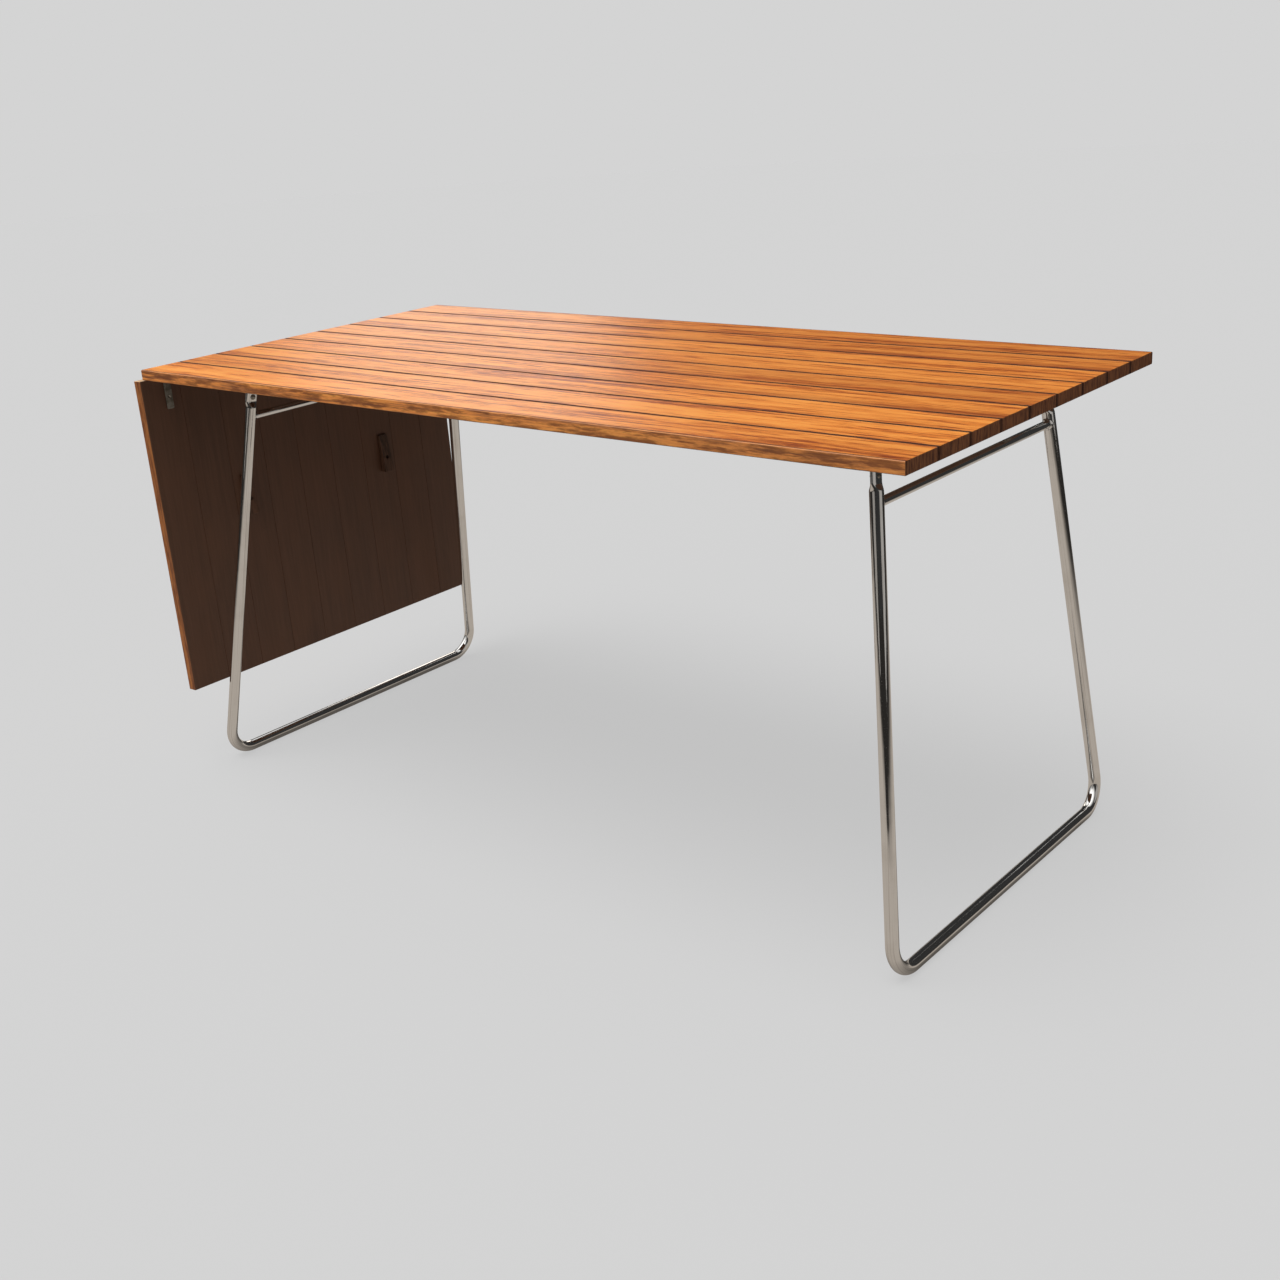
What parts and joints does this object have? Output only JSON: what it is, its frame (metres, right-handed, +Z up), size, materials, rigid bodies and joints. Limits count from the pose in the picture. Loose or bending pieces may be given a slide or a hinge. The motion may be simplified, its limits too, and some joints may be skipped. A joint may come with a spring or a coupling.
{
  "type": "drop leaf table",
  "caption": "Long table with a staved wood top on two raked bent-tube leg frames, one drop leaf hinged at an end, and pull-out bars under the top that hold the leaf up.",
  "frame": {"origin": "on the floor, under the middle of the whole length with the leaf hanging, and midway across", "axes": "+Z up; +X along the table, from the leaf end to the far end; +Y across it"},
  "size_m": [1.511, 0.7, 0.73],
  "materials": {
    "oiled_wood": "satin oil, orange brown, dark streaks along the grain",
    "dark_wood": "matt dark brown",
    "chromed_tube": "polished chrome plate",
    "zinc_steel": "dull bright steel",
    "screws": "turned steel"
  },
  "bodies": {
    "table": {"top_stave_1": "oiled_wood", "top_stave_2": "oiled_wood", "top_stave_3": "oiled_wood", "top_stave_4": "oiled_wood", "top_stave_5": "oiled_wood", "top_stave_6": "oiled_wood", "top_stave_7": "oiled_wood", "top_stave_8": "oiled_wood", "top_stave_9": "oiled_wood", "leg_frame_leaf_end": "chromed_tube", "leg_frame_far_end": "chromed_tube", "crossbar_leaf_end": "chromed_tube", "crossbar_far_end": "chromed_tube", "leg_screw_leaf_end_near": "screws", "leg_screw_leaf_end_far": "screws", "leg_screw_far_end_near": "screws", "leg_screw_far_end_far": "screws", "leg_plate_leaf_end_near": "zinc_steel", "leg_plate_leaf_end_far": "zinc_steel", "leg_plate_far_end_near": "zinc_steel", "leg_plate_far_end_far": "zinc_steel", "plate_screw_leaf_end_near_1": "screws", "plate_screw_leaf_end_near_2": "screws", "plate_screw_leaf_end_far_1": "screws", "plate_screw_leaf_end_far_2": "screws", "plate_screw_far_end_near_1": "screws", "plate_screw_far_end_near_2": "screws", "plate_screw_far_end_far_1": "screws", "plate_screw_far_end_far_2": "screws", "batten_leaf_end": "dark_wood", "batten_middle": "dark_wood", "batten_far_end": "dark_wood", "table_strap_near": "zinc_steel", "table_strap_far": "zinc_steel", "hinge_pin_near": "zinc_steel", "hinge_pin_far": "zinc_steel", "table_strap_screw_near": "screws", "table_strap_screw_far": "screws", "front_rail": "dark_wood", "rear_rail": "dark_wood"},
    "leaf": {"leaf_stave_1": "oiled_wood", "leaf_stave_2": "oiled_wood", "leaf_stave_3": "oiled_wood", "leaf_stave_4": "oiled_wood", "leaf_stave_5": "oiled_wood", "leaf_stave_6": "oiled_wood", "leaf_stave_7": "oiled_wood", "leaf_stave_8": "oiled_wood", "leaf_stave_9": "oiled_wood", "leaf_strap_near": "zinc_steel", "leaf_strap_far": "zinc_steel", "leaf_strap_screw_near": "screws", "leaf_strap_screw_far": "screws", "ramp_near": "dark_wood", "ramp_far": "dark_wood", "ramp_screw_near": "screws", "ramp_screw_far": "screws"},
    "support_bar_near": {"support_bar_near": "dark_wood"},
    "support_bar_far": {"support_bar_far": "dark_wood"}
  },
  "joints": [
    {"name": "leaf_hinge", "type": "hinge", "parent": "table", "child": "leaf", "pos_m": [-0.73198, 0, 0.7065], "axis": [0, 1, 0], "range_deg": [0, 91]},
    {"name": "support_bar_near_slide", "type": "slide", "parent": "table", "child": "support_bar_near", "axis": [-1, 0, 0], "range_m": [0, 0.045]},
    {"name": "support_bar_far_slide", "type": "slide", "parent": "table", "child": "support_bar_far", "axis": [-1, 0, 0], "range_m": [0, 0.045]}
  ]
}
